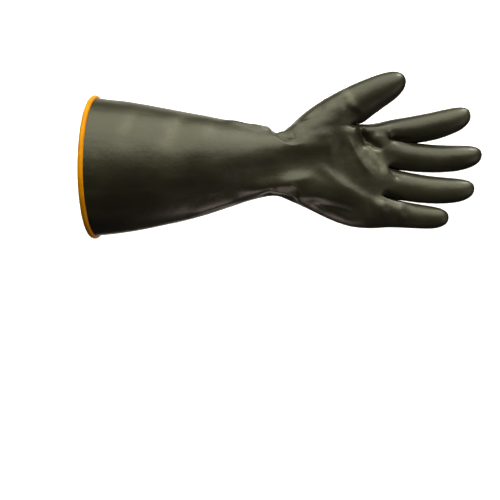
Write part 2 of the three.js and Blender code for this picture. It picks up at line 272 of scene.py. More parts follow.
THUMB_SECTIONS = (
    ThumbSection(0.2, 0.478, 0.785, 0.402, 0.1, 1.5),
    ThumbSection(0.373, 0.6, 0.813, 0.422, 0.2, 1.3),
    ThumbSection(0.556, 0.695, 0.873, 0.468, 0.3, 1.12),
    ThumbSection(0.758, 0.794, 0.978, 0.546, 0.4, 1.0),
    ThumbSection(0.942, 0.858, 1.086, 0.62, 0.48, 0.92),
    ThumbSection(1.07, 0.88, 1.162, 0.7, 0.54, 0.7),
    ThumbSection(1.145, 0.85, 1.178, 0.77, 0.57, 0.36),
)
THUMB_TIP = (1.172, 0.808, 0.57)

FOLDS = (
    Fold("wrist valley", (-0.63, -0.151), (-0.048, 0.002), (0.436, 0.039), 0.101, -0.05,
         skew=2.33, taper=0.5),
    Fold("wrist ridge", (-0.404, -0.282), (0.029, -0.156), (0.398, -0.097), 0.063, 0.037, skew=1.02),
    Fold("pocket", (-0.005, 0.287), (0.115, 0.179), (0.198, 0.301), 0.045, -0.035, skew=1.12),
    Fold("pocket rim", (-0.153, 0.45), (0.042, 0.055), (0.261, 0.232), 0.048, 0.027,
         skew=1.94, crest=Crest.PINCHED),
    Fold("pocket end", (0.233, 0.233), (0.258, 0.306), (0.227, 0.388), 0.026, -0.004, skew=1.03),
    Fold("pocket top", (-0.059, 0.316), (0.098, 0.342), (0.325, 0.409), 0.016, -0.004, skew=0.94),
    Fold("pocket glint", (0.03, 0.291), (0.057, 0.216), (0.151, 0.244), 0.045, 0.035, taper=0.0),
    Fold("heel ridge", (-0.359, -0.403), (-0.091, -0.295), (0.136, -0.174), 0.017, 0.004,
         skew=2.18, crest=Crest.PINCHED),
    Fold("heel turn", (0.086, -0.165), (0.213, -0.179), (0.211, -0.37), 0.014, 0.011, crest=Crest.PINCHED),
    Fold("heel hollow", (-0.189, -0.282), (0.036, -0.267), (0.215, -0.349), 0.033, -0.041, skew=1.03),
    Fold("heel dark", (0.202, -0.369), (0.483, -0.352), (0.828, -0.508), 0.076, -0.044, skew=0.87),
    Fold("life line", (0.335, 0.034), (0.601, -0.245), (0.979, -0.369), 0.05, 0.021, skew=1.35),
    Fold("life hollow", (0.391, 0.078), (0.647, -0.046), (0.864, -0.171), 0.052, 0.002),
    Fold("web pit", (0.77, 0.334), (0.768, 0.264), (0.803, 0.214), 0.03, -0.045, skew=1.39, taper=0.0),
    Fold("web crease", (0.767, 0.338), (0.824, 0.199), (0.97, 0.142), 0.026, -0.038, skew=0.98),
    Fold("web ridge", (0.629, 0.307), (0.705, 0.06), (0.904, -0.129), 0.045, 0.033,
         skew=1.86, crest=Crest.PINCHED),
    Fold("web valley", (0.596, 0.197), (0.636, 0.04), (0.763, -0.119), 0.056, 0.011, skew=1.22),
    Fold("palm hollow", (0.285, 0.087), (0.466, 0.125), (0.636, 0.125), 0.086, -0.016,
         skew=1.04, taper=0.0),
    Fold("ball line", (0.018, 0.312), (0.311, 0.416), (0.734, 0.358), 0.053, 0.011, skew=1.04),
    Fold("thumb streak", (0.175, 0.36), (0.304, 0.423), (0.444, 0.579), 0.046, -0.011),
    Fold("thumb dent", (0.608, 0.595), (0.602, 0.547), (0.663, 0.494), 0.041, -0.009, skew=0.96, taper=0.0),
    Fold("palm wrinkle one", (0.855, 0.119), (0.908, 0.062), (0.934, -0.012), 0.018, 0.003),
    Fold("palm wrinkle two", (0.921, 0.118), (0.982, 0.068), (0.989, 0.002), 0.038, 0.002, skew=0.97),
    Fold("palm wrinkle three", (0.777, 0.086), (0.846, 0.019), (0.894, -0.071), 0.022, 0.005),
    Fold("web lip one", (1.028, 0.357), (0.988, 0.201), (1.271, 0.214), 0.021, 0.018,
         skew=0.53, crest=Crest.PINCHED),
    Fold("web lip two", (1.013, 0.02), (1.049, -0.073), (1.147, -0.13), 0.024, -0.014,
         skew=1.06, crest=Crest.PINCHED),
    Fold("web lip three", (0.919, -0.238), (0.975, -0.376), (1.307, -0.348), 0.018, 0.018,
         skew=1.15, crest=Crest.PINCHED),
    Fold("web swell", (0.794, 0.158), (0.904, 0.067), (0.998, -0.061), 0.049, -0.005, skew=0.97),
    Fold("web swell two", (0.861, 0.274), (0.941, 0.262), (1.039, 0.265), 0.04, 0.019, skew=1.2),
    Fold("mount one", (0.284, -0.114), (0.46, -0.19), (0.663, -0.292), 0.053, 0.008, skew=0.93),
    Fold("mount two", (0.838, -0.392), (1.044, -0.347), (1.222, -0.47), 0.069, 0.044, skew=1.21),
    Fold("ball swell", (0.32, 0.244), (0.462, 0.34), (0.642, 0.409), 0.073, 0.008, skew=0.84),
    Fold("ball dark", (0.14, 0.154), (0.357, 0.144), (0.599, 0.165), 0.098, 0.037, skew=2.17),
    Fold("thumb side", (0.595, 0.481), (0.671, 0.414), (0.741, 0.528), 0.056, -0.016, skew=0.82),
    Fold("heel face", (-0.034, -0.221), (0.096, -0.264), (0.177, -0.303), 0.023, 0.013,
         skew=1.13, taper=0.0),
    Fold("wrist dark", (-0.294, -0.217), (-0.027, -0.154), (0.204, -0.211), 0.045, 0.008, skew=1.2),
    Fold("notch", (-0.049, 0.346), (-0.024, 0.307), (0.059, 0.357), 0.024, -0.024, skew=0.92, taper=0.0),
    Fold("wrist band", (-0.258, 0.146), (0.014, 0.051), (0.287, 0.129), 0.056, -0.006, skew=1.18),
    Fold("under one", (1.04, 0.266), (1.078, 0.235), (1.255, 0.246), 0.024, -0.014, skew=1.06),
    Fold("under two", (1.008, -0.039), (1.078, -0.055), (1.186, -0.057), 0.027, -0.002, skew=1.04),
    Fold("under three", (0.957, -0.227), (1.044, -0.292), (1.226, -0.334), 0.031, -0.014, skew=1.15),
    Fold("cuff dent", (-1.387, 0.226), (-1.351, 0.333), (-1.314, 0.459), 0.079, -0.008,
         skew=0.97, taper=0.0),
    Fold("arm dent", (-1.007, 0.229), (-0.951, 0.332), (-0.877, 0.462), 0.089, -0.014,
         skew=0.94, taper=0.0),
    Fold("arm swell", (-0.75, 0.123), (-0.716, 0.269), (-0.681, 0.404), 0.091, 0.008, skew=1.02, taper=0.0),
    Fold("under swell", (-0.873, -0.476), (-0.583, -0.348), (-0.271, -0.295), 0.051, 0.018, skew=0.5),
    Fold("top edge", (-0.532, 0.439), (-0.311, 0.37), (-0.046, 0.31), 0.018, 0.03, crest=Crest.PINCHED),
    Fold("low arm", (-1.531, -0.422), (-1.171, -0.362), (-0.713, -0.265), 0.151, -0.014,
         skew=0.74, taper=0.0),
    Fold("pocket crease", (-0.1, 0.36), (0.03, 0.18), (0.19, 0.255), 0.022, -0.018, crest=Crest.PINCHED),
    Fold("ball edge", (-0.04, 0.3), (0.13, 0.345), (0.36, 0.46), 0.018, 0.011, crest=Crest.PINCHED),
    Fold("wrist lip", (-0.2, 0.42), (-0.14, 0.4), (-0.1, 0.38), 0.045, 0.02, taper=0.0, side=Side.BOTH),
    Fold("wrist pinch", (-0.02, 0.4), (0.0, 0.35), (0.03, 0.3), 0.045, -0.02, taper=0.0, side=Side.BOTH),
    Fold("upper back fold", (-0.2, 0.3), (-0.05, 0.1), (0.05, -0.05), 0.06, 0.035, side=Side.BACK),
    Fold("lower back fold", (-0.12, -0.3), (0.05, -0.12), (0.25, 0.05), 0.06, 0.035, side=Side.BACK),
    Fold("back valley", (-0.35, 0.0), (-0.1, -0.02), (0.1, -0.2), 0.07, -0.04, side=Side.BACK),
    Fold("back pinch", (0.0, 0.26), (0.1, 0.12), (0.24, 0.16), 0.035, -0.03, side=Side.BACK),
    Fold("back crease", (-0.05, -0.2), (0.08, -0.26), (0.2, -0.34), 0.03, 0.02,
         crest=Crest.PINCHED, side=Side.BACK),
    Fold("knuckle hollow", (0.75, 0.16), (0.8, -0.05), (0.85, -0.3), 0.1, -0.02, side=Side.BACK),
    Fold("back web crease", (0.7, 0.36), (0.85, 0.3), (0.98, 0.24), 0.04, -0.02, side=Side.BACK),
)

# Bloom patches: duller rubber, with a lighter colour that is partly a painted highlight of the sheen at
# these places.
BLOOM_AND_SHEEN_PATCHES = (
    BloomAndSheen((-1.39, 0.3), (-1.33, 0.44), 0.05, 0.12),
    BloomAndSheen((-0.99, 0.22), (-0.9, 0.44), 0.06, 0.14),
    BloomAndSheen((0.62, 0.68), (0.68, 0.57), 0.035, 0.3),
    BloomAndSheen((0.86, 0.13), (0.97, 0.0), 0.05, 0.7),
    BloomAndSheen((0.76, 0.12), (0.88, -0.02), 0.05, 0.3),
    BloomAndSheen((0.9, 0.27), (0.99, 0.24), 0.035, 0.12),
    BloomAndSheen((0.3, 0.46), (0.5, 0.56), 0.03, 0.1),
)


class Net:
    """A net of four-sided faces, the coarse form that is smoothed into the skin."""

    def __init__(self) -> None:
        """Starts with no points and no faces."""
        self.points: list[Vector] = []
        self.faces: list[tuple[int, ...]] = []

    def point(self, place: Vector) -> int:
        """Adds a point and returns its number."""
        self.points.append(place)
        return len(self.points) - 1

    def middle(self, ring: Iterable[int]) -> Vector:
        """Returns the mean of the points of a ring."""
        places = [self.points[k] for k in ring]
        return sum(places, Vector()) / len(places)

    def bridge(self, near: Ring, far: Ring) -> None:
        """Adds the faces between two closed rings of as many points."""
        for k, corner in enumerate(near):
            following = (k + 1) % len(near)
            self.faces.append((corner, near[following], far[following], far[k]))

    def cap(self, ring: Ring, tip: int) -> None:
        """Adds the faces from a closed ring to a point at its end."""
        for k in range(0, len(ring), 2):
            self.faces.append((ring[k], ring[k + 1], ring[(k + 2) % len(ring)], tip))

    def section(
        self, count: int, centre: Vector, up: Vector, out: Vector, half_width: float, half_depth: float
    ) -> Ring:
        """Adds an oval ring of points.

        Args:
            count: how many points the ring has.
            centre: the middle of the ring.
            up: unit direction of the first point.
            out: unit direction of the point a quarter of the way round.
            half_width: half the ring's size along up.
            half_depth: half the ring's size along out.

        Returns:
            The numbers of the ring's points.
        """
        grow = round_net_growth(count)
        ring = []
        for k in range(count):
            angle = 2 * math.pi * k / count
            offset = up * (half_width * math.cos(angle)) + out * (half_depth * math.sin(angle))
            ring.append(self.point(centre + offset * grow))
        return ring


@dataclass
class Skin:
    """A surface of four-sided faces, as arrays of its points and its faces."""

    points: np.ndarray
    faces: np.ndarray

    def normals(self) -> np.ndarray:
        """Returns one outward unit normal for each point."""
        return Sheet(self.points, list(self.faces)).normals()

    def sides(self) -> tuple[np.ndarray, np.ndarray, np.ndarray]:
        """Finds the sides of the faces.

        Returns:
            The two points of each side, the number of each face's four sides, and how many
            faces each side has.
        """
        ends = np.stack([self.faces, np.roll(self.faces, -1, axis=1)], axis=2)
        pairs = np.sort(ends.reshape(-1, 2), axis=1)
        keys, number, count = np.unique(
            pairs[:, 0] * len(self.points) + pairs[:, 1], return_inverse=True, return_counts=True
        )
        sides = np.stack([keys // len(self.points), keys % len(self.points)], axis=1)
        return sides, number.reshape(-1, 4), count

    def refined(self) -> "Skin":
        """Returns the next, smoother surface, with four faces in place of each.

        The old points keep their numbers, then come the sides' points and the faces' points.
        """
        sides, number, count = self.sides()
        centres = self.points[self.faces].mean(axis=1)
        middles = self.points[sides].mean(axis=1)
        beside = gathered(number, centres, len(sides))
        inside = (count == 2)[:, None]
        side_points = np.where(inside, (2 * middles + beside) / 4, middles)
        faces_round = gathered(self.faces, np.ones((len(self.faces), 1)), len(self.points))
        centre_mean = gathered(self.faces, centres, len(self.points)) / faces_round
        sides_round = gathered(sides, np.ones((len(sides), 1)), len(self.points))
        middle_mean = gathered(sides, middles, len(self.points)) / sides_round
        moved = (centre_mean + 2 * middle_mean + (sides_round - 3) * self.points) / sides_round
        edge = np.where(count == 1)[0]
        edge_mean = gathered(sides[edge], middles[edge], len(self.points)) / 2
        on_edge = self.on_rim()
        moved[on_edge] = (self.points[on_edge] + edge_mean[on_edge]) / 2
        first = len(self.points)
        last = np.arange(len(self.faces)) + first + len(sides)
        parts = [
            (self.faces[:, k], first + number[:, k], last, first + number[:, (k + 3) % 4]) for k in range(4)
        ]
        faces = np.stack([np.stack(part, axis=1) for part in parts], axis=1).reshape(-1, 4)
        return Skin(np.vstack([moved, side_points, centres]), faces)

    def on_rim(self) -> np.ndarray:
        """Returns for each point whether it lies on the open rim."""
        sides, _, count = self.sides()
        marks = np.zeros(len(self.points), dtype=bool)
        marks[sides[count == 1].ravel()] = True
        return marks

    def rim(self) -> Ring:
        """Returns the numbers of the points round the open mouth, in order."""
        marks = self.on_rim()
        sides = [(int(f[k]), int(f[(k + 1) % 4])) for f in self.faces[marks[self.faces].any(axis=1)]
                 for k in range(4)]
        count = Counter(tuple(sorted(side)) for side in sides if marks[list(side)].all())
        following = {a: b for a, b in sides if count.get(tuple(sorted((a, b)))) == 1}
        ring = [next(iter(following))]
        while following[ring[-1]] != ring[0]:
            ring.append(following[ring[-1]])
        return ring

    def split(self, finer: "Skin", chosen: np.ndarray) -> list[Ring]:
        """Replaces some faces by the four finer faces in their place.

        Args:
            finer: the next, smoother surface.
            chosen: for each face whether it is replaced.

        Returns:
            The finer faces, and the others with the points that they share with those.
        """
        _, number, _ = self.sides()
        halved = np.zeros(number.max() + 1, dtype=bool)
        halved[number[chosen].ravel()] = True
        rings = [list(ring) for ring in finer.faces.reshape(-1, 4, 4)[chosen].reshape(-1, 4)]
        for face, around in zip(self.faces[~chosen], number[~chosen]):
            ring = []
            for corner, side in zip(face, around):
                ring += [corner, len(self.points) + side] if halved[side] else [corner]
            rings.append(ring)
        return rings


@dataclass
class Sheet:
    """A surface of faces with any number of corners, given as rings of point numbers."""

    points: np.ndarray
    rings: Sequence[Sequence[int]]

    def normals(self) -> np.ndarray:
        """Returns one outward unit normal for each point."""
        lengths = np.array([len(ring) for ring in self.rings])
        corner = np.concatenate(self.rings)
        last = np.cumsum(lengths) - 1
        following = np.roll(corner, -1)
        following[last] = corner[last - lengths + 1]
        owner = np.repeat(np.arange(len(lengths)), lengths)
        across = np.cross(self.points[corner], self.points[following])
        total = np.zeros_like(self.points)
        for axis in range(3):
            area = np.bincount(owner, across[:, axis])
            total[:, axis] = np.bincount(corner, area[owner], len(self.points))
        return total / np.linalg.norm(total, axis=1, keepdims=True)

    def lowest_nearby(self, values: np.ndarray, rounds: int) -> np.ndarray:
        """Returns for each point the lowest value within so many faces of it."""
        lengths = np.array([len(ring) for ring in self.rings])
        corner = np.concatenate(self.rings)
        starts = np.cumsum(lengths) - lengths
        lowest = values.copy()
        for _ in range(rounds):
            in_face = np.minimum.reduceat(lowest[corner], starts)
            np.minimum.at(lowest, corner, np.repeat(in_face, lengths))
        return lowest


@dataclass
class Rim:
    """The places round the shell's mouth and the shell's normals there."""

    points: np.ndarray
    normals: np.ndarray


def gathered(rows: np.ndarray, values: np.ndarray, count: int) -> np.ndarray:
    """Sums values at the points that rows name.

    Args:
        rows: point numbers, one row for each value.
        values: one row of numbers for each row of points.
        count: how many points there are.

    Returns:
        For each point the sum of the values of the rows that name it.
    """
    spread = np.repeat(values, rows.shape[1], axis=0)
    sums = [np.bincount(rows.ravel(), spread[:, k], count) for k in range(values.shape[1])]
    return np.stack(sums, axis=1)


def round_net_growth(count: int) -> float:
    """Returns how much larger a round net of count points is made, as smoothing draws it in."""
    return 3 / (2 + math.cos(2 * math.pi / count))


def mix(low: float, high: float, share: float) -> float:
    """Returns the value at a share of the way from low to high."""
    return low + (high - low) * share


def smooth_step(share: np.ndarray) -> np.ndarray:
    """Returns a smooth ramp from 0 to 1 for shares from 0 to 1."""
    held = np.clip(share, 0.0, 1.0)
    return held * held * (3 - 2 * held)


def along_curve(points: np.ndarray, line: np.ndarray) -> tuple[np.ndarray, np.ndarray]:
    """Measures points against a line in the plane of the hand.

    Args:
        points: places of the points, one row each.
        line: places along the line, in order.

    Returns:
        For each point its distance from the line, negative on the line's right-hand side,
        and the share of the line at which it lies.
    """
    starts, steps = line[:-1], np.diff(line, axis=0)
    lengths = (steps**2).sum(axis=1)
    rel = points[:, None, :] - starts[None, :, :]
    share = np.clip((rel * steps).sum(axis=2) / lengths, 0.0, 1.0)
    off = rel - share[:, :, None] * steps
    gap = np.sqrt((off**2).sum(axis=2))
    best = gap.argmin(axis=1)
    rows = np.arange(len(points))
    turn = steps[best, 0] * off[rows, best, 1] - steps[best, 1] * off[rows, best, 0]
    signed = np.where(turn < 0, -1.0, 1.0) * gap[rows, best]
    return signed, (best + share[rows, best]) / len(steps)


def bezier(start: Pair, bend: Pair, end: Pair, count: int) -> np.ndarray:
    """Returns count places along the curve from start through bend to end."""
    t = np.linspace(0.0, 1.0, count)[:, None]
    a, b, c = (np.array(p) for p in (start, bend, end))
    return (1 - t) ** 2 * a + 2 * t * (1 - t) * b + t**2 * c


def new_object(name: str, mesh: bpy.types.Mesh) -> bpy.types.Object:
    """Returns a linked object for a mesh, at the origin, unturned and unscaled."""
    made = bpy.data.objects.new(name, mesh)
    bpy.context.scene.collection.objects.link(made)
    return made


def baked(source: bpy.types.Object, name: str) -> bpy.types.Object:
    """Turns an object with modifiers into a plain mesh object.

    Args:
        source: the object, which is removed.
        name: the new object's name.

    Returns:
        The new object, with no modifiers.
    """
    graph = bpy.context.evaluated_depsgraph_get()
    mesh = bpy.data.meshes.new_from_object(source.evaluated_get(graph))
    mesh.name = name
    bpy.data.objects.remove(source, do_unlink=True)
    return new_object(name, mesh)


class Signal:
    """A shader socket that takes part in arithmetic, each operator adding a Math node."""

    def __init__(self, shader: "Shader", socket: bpy.types.NodeSocket) -> None:
        """Wraps an output socket of a shader's tree."""
        self.shader = shader
        self.socket = socket

    def _math(self, operation: str, first: "Value", second: "Value") -> "Signal":
        """Adds a Math node and returns its result."""
        return self.shader.node("ShaderNodeMath", {"operation": operation}, {0: first, 1: second})

    def __add__(self, other: "Value") -> "Signal":
        """Adds."""
        return self._math("ADD", self, other)

    __radd__ = __add__

    def __sub__(self, other: "Value") -> "Signal":
        """Takes other away."""
        return self._math("SUBTRACT", self, other)

    def __rsub__(self, other: "Value") -> "Signal":
        """Takes this away from other."""
        return self._math("SUBTRACT", other, self)

    def __mul__(self, other: "Value") -> "Signal":
        """Multiplies."""
        return self._math("MULTIPLY", self, other)

    __rmul__ = __mul__


Value = Union[Signal, float, Sequence[float]]


class Shader:
    """A material's node tree, with one method that adds any node."""

    def __init__(self, name: str) -> None:
        """Makes an empty material of a name, with its Principled shader."""
        self.material = bpy.data.materials.new(name)
        self.material.use_nodes = True
        self.tree = self.material.node_tree
        self.surface = self.tree.nodes["Principled BSDF"]

    def node(
        self,
        kind: str,
        settings: Optional[dict] = None,
        inputs: Optional[dict] = None,
        output: Union[int, str] = 0,
    ) -> Signal:
        """Adds a node.

        Args:
            kind: the node's type name.
            settings: its properties, set before the sockets.
            inputs: values or signals by socket name or number.
            output: the socket that is returned.

        Returns:
            The signal of the output socket.
        """
        made = self.tree.nodes.new(kind)
        for key, value in (settings or {}).items():
            setattr(made, key, value)
        for key, value in (inputs or {}).items():
            self.feed(made.inputs[key], value)
        return Signal(self, made.outputs[output])

    def feed(self, socket: bpy.types.NodeSocket, value: Value) -> None:
        """Links a signal to a socket, or sets the socket's value."""
        if isinstance(value, Signal):
            self.tree.links.new(value.socket, socket)
        else:
            socket.default_value = value

    def dress(self, **inputs: Value) -> None:
        """Sets sockets of the Principled shader, named with underscores for spaces."""
        for key, value in inputs.items():
            self.feed(self.surface.inputs[key.replace("_", " ")], value)

    def object_place(self, scale: Sequence[float] = (1.0, 1.0, 1.0)) -> Signal:
        """Returns Object coordinates, scaled along each axis."""
        place = self.node("ShaderNodeTexCoord", output="Object")
        return self.node("ShaderNodeMapping", {}, {"Vector": place, "Scale": scale})

    def noise(self, place: Signal, scale: float, detail: float, roughness: float = 0.5) -> Signal:
        """Returns a noise from 0 to 1 over a place."""
        return self.node(
            "ShaderNodeTexNoise",
            {},
            {"Vector": place, "Scale": scale, "Detail": detail, "Roughness": roughness},
            "Fac",
        )

    def ramp(self, value: Value, low: float, high: float, out_low: float, out_high: float) -> Signal:
        """Returns a smooth, held change of value from one range to another."""
        return self.node(
            "ShaderNodeMapRange",
            {"interpolation_type": "SMOOTHSTEP"},
            {"Value": value, "From Min": low, "From Max": high, "To Min": out_low, "To Max": out_high},
        )

    def blend(self, share: Value, first: Union[Signal, Colour], second: Union[Signal, Colour]) -> Signal:
        """Returns the mix of two colours."""
        made = self.tree.nodes.new("ShaderNodeMix")
        made.data_type = "RGBA"
        for number, value in ((0, share), (6, first), (7, second)):
            plain = value if isinstance(value, (Signal, float)) else (*value, 1.0)
            self.feed(made.inputs[number], plain)
        return Signal(self, made.outputs[2])

    def bump(self, height: Signal, depth: float) -> Signal:
        """Returns the normal of a bump map whose height is depth metres at 1."""
        return self.node("ShaderNodeBump", {}, {"Height": height, "Distance": depth, "Strength": 1.0})


@dataclass(frozen=True)
class RubberFinish:
    """Dipped black rubber with an olive cast: satin, a little streaked, with dull patches whose lighter
    colour is partly painted sheen.
    """

    name: str = "black_rubber"
    deep: Colour = (0.020, 0.019, 0.011)
    worn: Colour = (0.075, 0.073, 0.048)
    # Light colour of the bloom patches, partly a painted highlight of the sheen.
    chalk_and_sheen: Colour = (0.34, 0.335, 0.28)
    gloss: float = 0.37
    dull: float = 0.55

    def material(self) -> bpy.types.Material:
        """Builds the material."""
        shader = Shader(self.name)
        place = shader.object_place()
        clouds = shader.noise(place, 16.0, 3.0, 0.55)
        streaks = shader.noise(shader.object_place((9.0, 70.0, 70.0)), 1.0, 4.0, 0.6)
        grain = shader.noise(place, 900.0, 3.0, 0.6)
        ripple = shader.noise(place, 120.0, 3.0, 0.5)
        bloom_and_sheen = shader.node("ShaderNodeAttribute", {"attribute_name": "bloom_and_sheen"}, {}, "Fac")
        # Bloom patches broken up by noise: they raise the roughness and lighten the colour, partly as
        # painted sheen.
        broken = bloom_and_sheen * shader.ramp(shader.noise(place, 110.0, 4.0, 0.65), 0.3, 0.7, 0.45, 1.0)
        haze = shader.ramp(clouds, 0.35, 0.75, 0.0, 0.28) + shader.ramp(streaks, 0.45, 0.75, 0.0, 0.14)
        share = haze + broken * 0.6
        tone_and_sheen = shader.blend(share + (grain - 0.5) * 0.12, self.deep, self.worn)
        shader.dress(
            Base_Color=shader.blend(broken, tone_and_sheen, self.chalk_and_sheen),
            Roughness=share * (self.dull - self.gloss) + self.gloss,
            Normal=shader.bump(ripple * 0.7 + grain * 0.12 + streaks * 0.5, 0.00045),
            Specular_IOR_Level=0.5,
            IOR=1.52,
        )
        return shader.material


@dataclass(frozen=True)
class LiningFinish:
    """The orange inner dip, a little darker and duller than the bead."""

    name: str = "orange_lining"
    deep: Colour = (0.42, 0.13, 0.012)
    worn: Colour = (0.62, 0.24, 0.03)
    gloss: float = 0.55

    def material(self) -> bpy.types.Material:
        """Builds the material."""
        shader = Shader(self.name)
        place = shader.object_place()
        clouds = shader.noise(place, 24.0, 4.0, 0.55)
        grain = shader.noise(place, 700.0, 2.0, 0.5)
        shader.dress(
            Base_Color=shader.blend(shader.ramp(clouds, 0.3, 0.7, 0.0, 1.0), self.deep, self.worn),
            Roughness=clouds * 0.12 + self.gloss,
            Normal=shader.bump(clouds + grain * 0.2, 0.0004),
        )
        return shader.material


@dataclass(frozen=True)
class BeadFinish:
    """Orange-yellow rubber of the rolled bead, with a soft shine and faint marks."""

    name: str = "orange_bead"
    deep: Colour = (0.66, 0.235, 0.0)
    worn: Colour = (0.84, 0.33, 0.0)
    gloss: float = 0.42

    def material(self) -> bpy.types.Material:
        """Builds the material."""
        shader = Shader(self.name)
        place = shader.object_place()
        clouds = shader.noise(place, 60.0, 4.0, 0.6)
        grain = shader.noise(place, 1200.0, 2.0, 0.5)
        shader.dress(
            Base_Color=shader.blend(shader.ramp(clouds, 0.3, 0.7, 0.0, 1.0), self.deep, self.worn),
            Roughness=clouds * 0.15 + self.gloss,
            Normal=shader.bump(clouds * 0.8 + grain * 0.15, 0.0003),
            Specular_IOR_Level=0.12,
        )
        return shader.material


@dataclass(frozen=True)
class PaperFinish:
    """Matt white studio paper."""

    name: str = "studio_paper"
    shade: Colour = (0.86, 0.86, 0.86)

    def material(self) -> bpy.types.Material:
        """Builds the material."""
        shader = Shader(self.name)
        shader.dress(Base_Color=(*self.shade, 1.0), Roughness=0.9, Specular_IOR_Level=0.1)
        return shader.material


@dataclass
class GloveShell:
    """The one dipped piece: gauntlet, wrist, palm, thumb and four fingers, with its wall."""

    sizes: GloveSizes = field(default_factory=GloveSizes)
    columns: int = 20
    finger_columns: int = 8
    smoothing: int = 4
    fine_from: float = 0.9
    fine_to: float = 1.82
    fine_facing: float = 0.05
    fold_steps: int = 24
    looseness: float = 0.0005
    wide_slack: float = 22.0
    close_slack: float = 60.0
    close_share: float = 0.35
    lining_rounds: int = 2

    def column(self, k: int, ball: float, fan: float) -> Column:
        """Returns where column k of a section lies.

        Args:
            k: the column's number, from the thumb edge down the palm and up the back.
            ball: how far the section's columns have moved to the ball of the thumb.
            fan: how far they have moved to the knuckles.

        Returns:
            The column's shares, with its reach in metres.
        """
        half = self.columns // 2
        on_back = k > half
        number = self.columns - k if on_back else k
        grow = round_net_growth(self.columns)
        angle = math.pi * number / half
        thumb, knuckle = THUMB_COLUMNS[number], KNUCKLE_COLUMNS[number]
        side = mix(mix(grow * math.cos(angle), thumb.side, ball), knuckle.side, fan)
        deep = mix(mix(grow * math.sin(angle), thumb.deep, ball), knuckle.deep, fan)
        return Column(side, -deep if on_back else deep, fan * knuckle.reach * self.sizes.palm_length)

    def trunk(self, net: Net) -> list[Ring]:
        """Adds the gauntlet and the hand, open where the thumb and the fingers leave them."""
        s = self.sizes
        rows = []
        for part in GAUNTLET_SECTIONS:
            fade = (1 - part.along) ** 2
            x = mix(s.bead_reach * s.bead_diameter / 2, s.gauntlet_length, part.along)
            height = mix(s.wrist_height, s.cuff_height, part.flare)
            depth = mix(s.wrist_depth, s.cuff_depth, part.flare)
            turn = math.tan(math.radians(s.cuff_turn)) * fade
            lean = math.tan(math.radians(s.cuff_lean)) * fade
            rows.append((x, part.rise * s.wrist_height, height / 2, depth / 2, turn, lean, 0.0, 0.0))
        for part in HAND_SECTIONS:
            x = s.gauntlet_length + part.along * s.palm_length
            height = mix(s.wrist_height, s.palm_width, part.spread)
            depth = mix(s.wrist_depth, s.palm_depth, part.spread) * part.thick
            rows.append((x, part.rise * s.palm_width, height / 2, depth / 2, 0.0, 0.0, part.ball, part.fan))
        rings = []
        for x, z, half_width, half_depth, turn, lean, ball, fan in rows:
            ring = []
            for k in range(self.columns):
                place = self.column(k, ball, fan)
                y = -half_depth * place.deep
                high = z + half_width * place.side
                ring.append(net.point(Vector((x + place.reach + turn * y + lean * high, y, high))))
            rings.append(ring)
        first = len(GAUNTLET_SECTIONS)
        for r, (near, far) in enumerate(zip(rings, rings[1:])):
            beside_thumb = first <= r < first + THUMB_ROWS
            for k in range(self.columns):
                following = (k + 1) % self.columns
                if beside_thumb and 0 in (k, following):
                    continue
                net.faces.append((near[k], near[following], far[following], far[k]))
        return rings

    def finger_roots(self, net: Net, knuckles: Ring) -> list[Ring]:
        """Returns the root ring of each finger, neighbours sharing the web's middle point."""
        back = [knuckles[(self.columns - k) % self.columns] for k in range(self.columns)]
        webs = [knuckles[0]]
        for f in range(1, len(FINGERS)):
            k = 2 * f + 1
            webs.append(net.point(net.middle([knuckles[k], back[k]])))
        webs.append(knuckles[self.columns // 2])
        roots = []
        for f in range(len(FINGERS)):
            trio = range(2 * f + 1, 2 * f + 4)
            palm_side = [knuckles[k] for k in trio]
            back_side = [back[k] for k in reversed(trio)]
            roots.append([webs[f], *palm_side, webs[f + 1], *back_side])
        return roots

    def add_finger(self, net: Net, root: Ring, finger: Finger) -> None:
        """Adds a finger that bends evenly towards the palm and sags below its chord."""
        start = net.middle(root)
        reach = finger.length * self.sizes.finger_length
        turn = math.radians(finger.swing)
        ahead = Vector((math.cos(turn), 0, math.sin(turn)))
        up = Vector((-math.sin(turn), 0, math.cos(turn)))
        palmward = Vector((0, -1, 0))

        def place(share: float) -> Vector:
            """Returns the finger's middle at a share of its length."""
            bend = math.radians(finger.curl) * share / 2
            chord = ahead * math.cos(bend) + palmward * math.sin(bend)
            sag = -4 * finger.bow * share * (1 - share)
            return start + (chord * share + up * sag) * reach

        last = root
        for part in FINGER_SECTIONS:
            bend = math.radians(finger.curl) * part.along
            out = palmward * math.cos(bend) - ahead * math.sin(bend)
            width = finger.width * self.sizes.finger_width * mix(finger.root, 1, part.open)
            half_width = part.girth * width / 2
            half_depth = part.girth * finger.depth * self.sizes.finger_depth / 2
            ring = net.section(self.finger_columns, place(part.along), up, out, half_width, half_depth)
            net.bridge(last, ring)
            last = ring
        net.cap(last, net.point(place(1.0)))

    def add_thumb(self, net: Net, rings: list[Ring]) -> None:
        """Adds the thumb on the opening beside the palm."""
        first = len(GAUNTLET_SECTIONS)
        beside = rings[first : first + THUMB_ROWS + 1]
        palm_side = [ring[1] for ring in beside]
        back_side = [ring[self.columns - 1] for ring in reversed(beside)]
        last = [beside[0][0], *palm_side, beside[-1][0], *back_side]
        for part in THUMB_SECTIONS:
            outer = self.sizes.place(part.outer_along, part.outer_up, part.forward)
            inner = self.sizes.place(part.inner_along, part.inner_up, part.forward)
            across = outer - inner
            half_depth = part.stout * self.sizes.thumb_depth / 2
            ring = net.section(
                len(last), (outer + inner) / 2, across.normalized(), Vector((0, -1, 0)),
                across.length / 2, half_depth,
            )
            net.bridge(last, ring)
            last = ring
        net.cap(last, net.point(self.sizes.place(*THUMB_TIP)))

